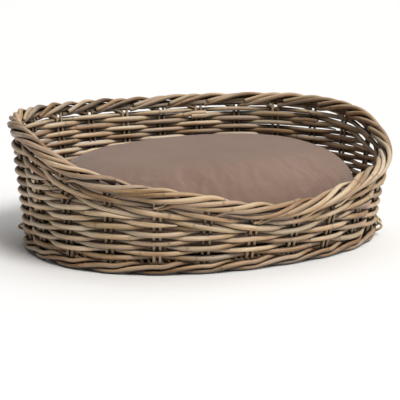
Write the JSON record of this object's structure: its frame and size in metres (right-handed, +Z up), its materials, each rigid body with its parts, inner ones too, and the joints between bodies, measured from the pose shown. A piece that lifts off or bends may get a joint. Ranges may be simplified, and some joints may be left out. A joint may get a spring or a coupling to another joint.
{
  "type": "wicker pet bed basket",
  "caption": "Oval woven cane pet bed, low at the front and high at the back and ends, with a rope-like border and a loose thick cushion to lie on.",
  "frame": {"origin": "bottom centre: the middle of the flat underside of the base, on the surface the basket stands on", "axes": "+X along the basket's length, +Y from the low front to the high back, +Z up"},
  "size_m": [0.7956, 0.6768, 0.2618],
  "materials": {
    "base_cane": "matte",
    "wale_cane": "satin",
    "upright_cane": "satin",
    "weaver_cane": "satin",
    "border_cane": "satin",
    "cushion_cover": "matte",
    "cushion_filling": "matte"
  },
  "bodies": {
    "basket": {"base_weave": "base_cane", "base_hoop": "base_cane", "base_stick_01": "base_cane", "base_stick_02": "base_cane", "base_stick_03": "base_cane", "foot_wale_strand_01": "wale_cane", "foot_wale_strand_02": "wale_cane", "foot_wale_strand_03": "wale_cane", "upright_pair_01": "upright_cane", "upright_pair_02": "upright_cane", "upright_pair_03": "upright_cane", "upright_pair_04": "upright_cane", "upright_pair_05": "upright_cane", "upright_pair_06": "upright_cane", "upright_pair_07": "upright_cane", "upright_pair_08": "upright_cane", "upright_pair_09": "upright_cane", "upright_pair_10": "upright_cane", "upright_pair_11": "upright_cane", "upright_pair_12": "upright_cane", "upright_pair_13": "upright_cane", "upright_pair_14": "upright_cane", "upright_pair_15": "upright_cane", "upright_pair_16": "upright_cane", "upright_pair_17": "upright_cane", "upright_pair_18": "upright_cane", "upright_pair_19": "upright_cane", "upright_pair_20": "upright_cane", "upright_pair_21": "upright_cane", "upright_pair_22": "upright_cane", "upright_pair_23": "upright_cane", "upright_pair_24": "upright_cane", "weaver_row_01": "weaver_cane", "weaver_row_02": "weaver_cane", "weaver_row_03": "weaver_cane", "weaver_row_04": "weaver_cane", "weaver_row_05": "weaver_cane", "weaver_row_06": "weaver_cane", "weaver_row_07": "weaver_cane", "weaver_row_08": "weaver_cane", "weaver_row_09": "weaver_cane", "weaver_row_10": "weaver_cane", "weaver_row_11": "weaver_cane", "weaver_row_12": "weaver_cane", "weaver_row_13": "weaver_cane", "weaver_row_14": "weaver_cane", "weaver_row_15": "weaver_cane", "weaver_row_16": "weaver_cane", "weaver_row_17": "weaver_cane", "weaver_row_18": "weaver_cane", "weaver_row_19": "weaver_cane", "weaver_row_20": "weaver_cane", "weaver_row_21": "weaver_cane", "border_strand_01": "border_cane", "border_strand_02": "border_cane", "border_strand_03": "border_cane", "border_strand_04": "border_cane"},
    "cushion": {"cushion_cover_base": "cushion_cover", "cushion_cover_top": "cushion_cover", "cushion_filling": "cushion_filling"}
  },
  "joints": [
    {"name": "cushion_lift", "type": "slide", "parent": "basket", "child": "cushion", "axis": [0, 0, 1], "range_m": [0, 0.3]}
  ]
}
